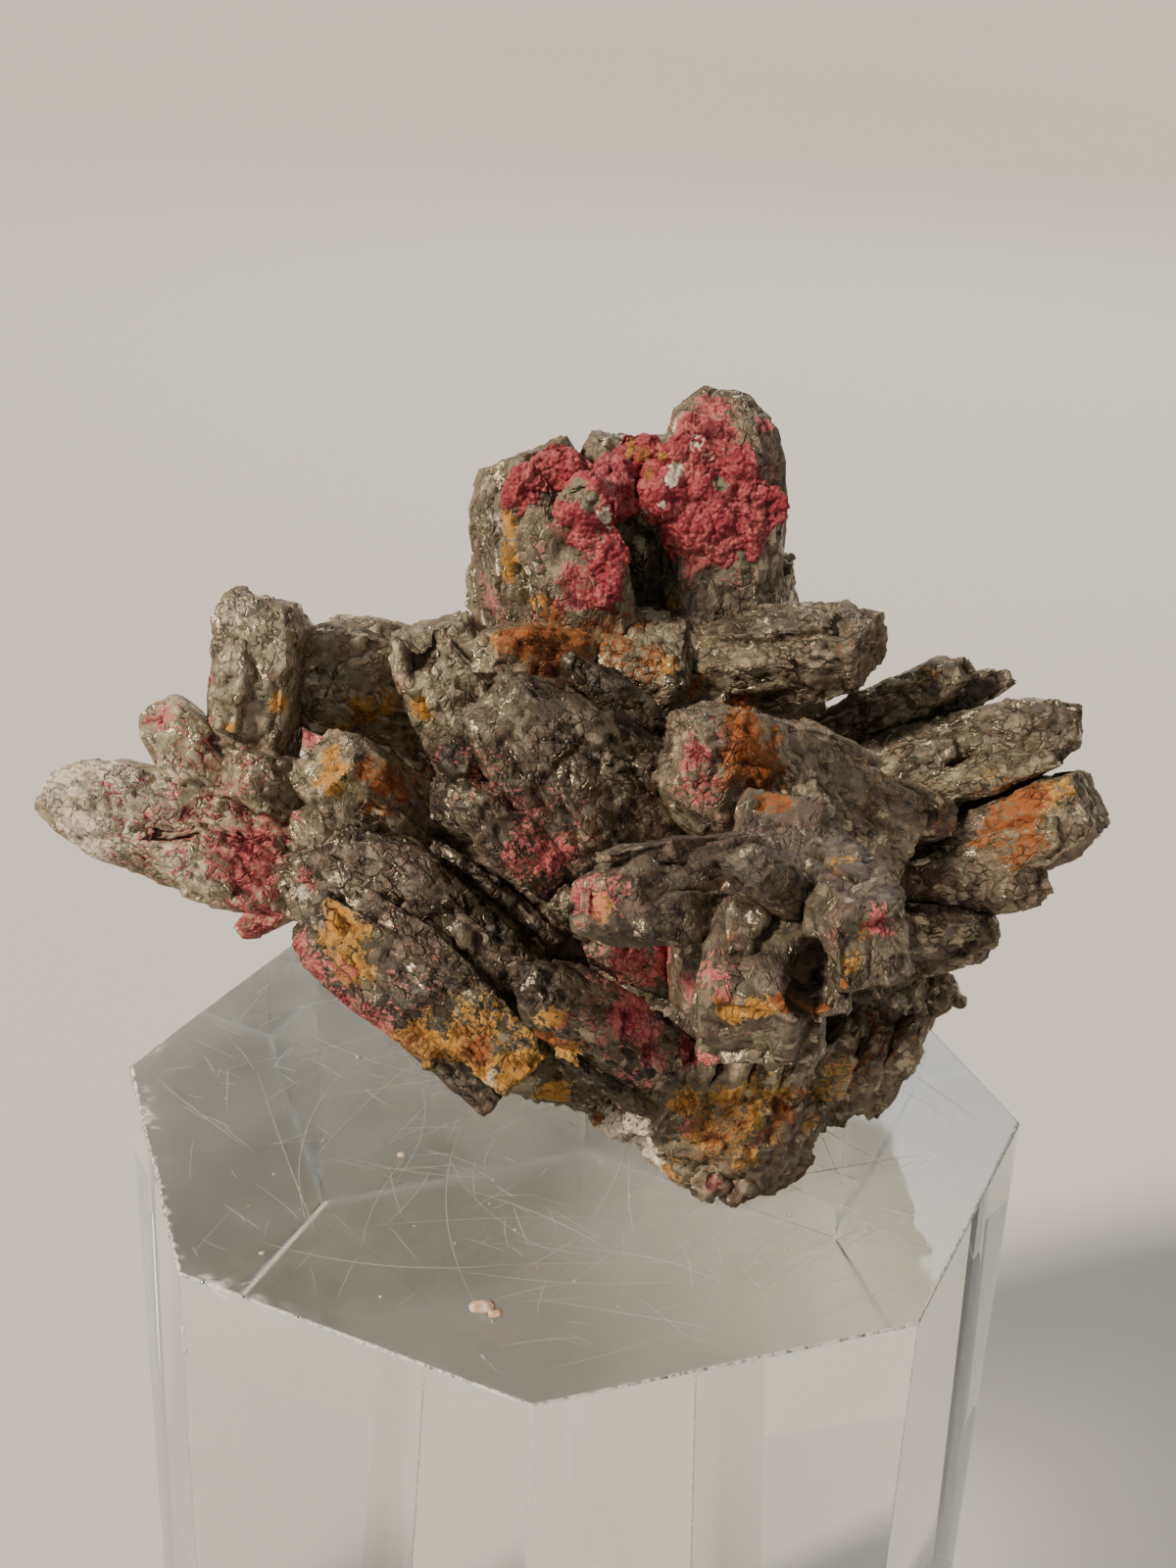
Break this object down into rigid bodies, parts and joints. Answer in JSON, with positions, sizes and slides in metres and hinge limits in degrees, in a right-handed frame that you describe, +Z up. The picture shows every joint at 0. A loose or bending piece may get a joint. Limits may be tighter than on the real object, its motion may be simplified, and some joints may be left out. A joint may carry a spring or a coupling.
{
  "type": "cinnabar on marcasite mineral specimen on a clear display block",
  "caption": "Spray of blunt marcasite crystals dusted and crusted with red cinnabar, resting on a clear octagonal acrylic display block.",
  "frame": {"origin": "middle of the clear block's underside, on the surface that it stands on", "axes": "+Z up, +X to the viewer's right across two opposite corners of the block, -Y towards the viewer through another corner"},
  "size_m": [0.0716, 0.0646, 0.1094],
  "materials": {
    "clear_acrylic": "polished clear cast acrylic, finely scratched on top, chipped along one corner",
    "marcasite": "dull olive grey, sub-metallic, rough and sparkling, stained rust and ochre",
    "cinnabar": "granular, crimson to pink, mostly dull"
  },
  "bodies": {
    "root": {"clear_block": "clear_acrylic", "marcasite_cluster": "marcasite", "cinnabar_crust": "cinnabar"}
  },
  "joints": []
}
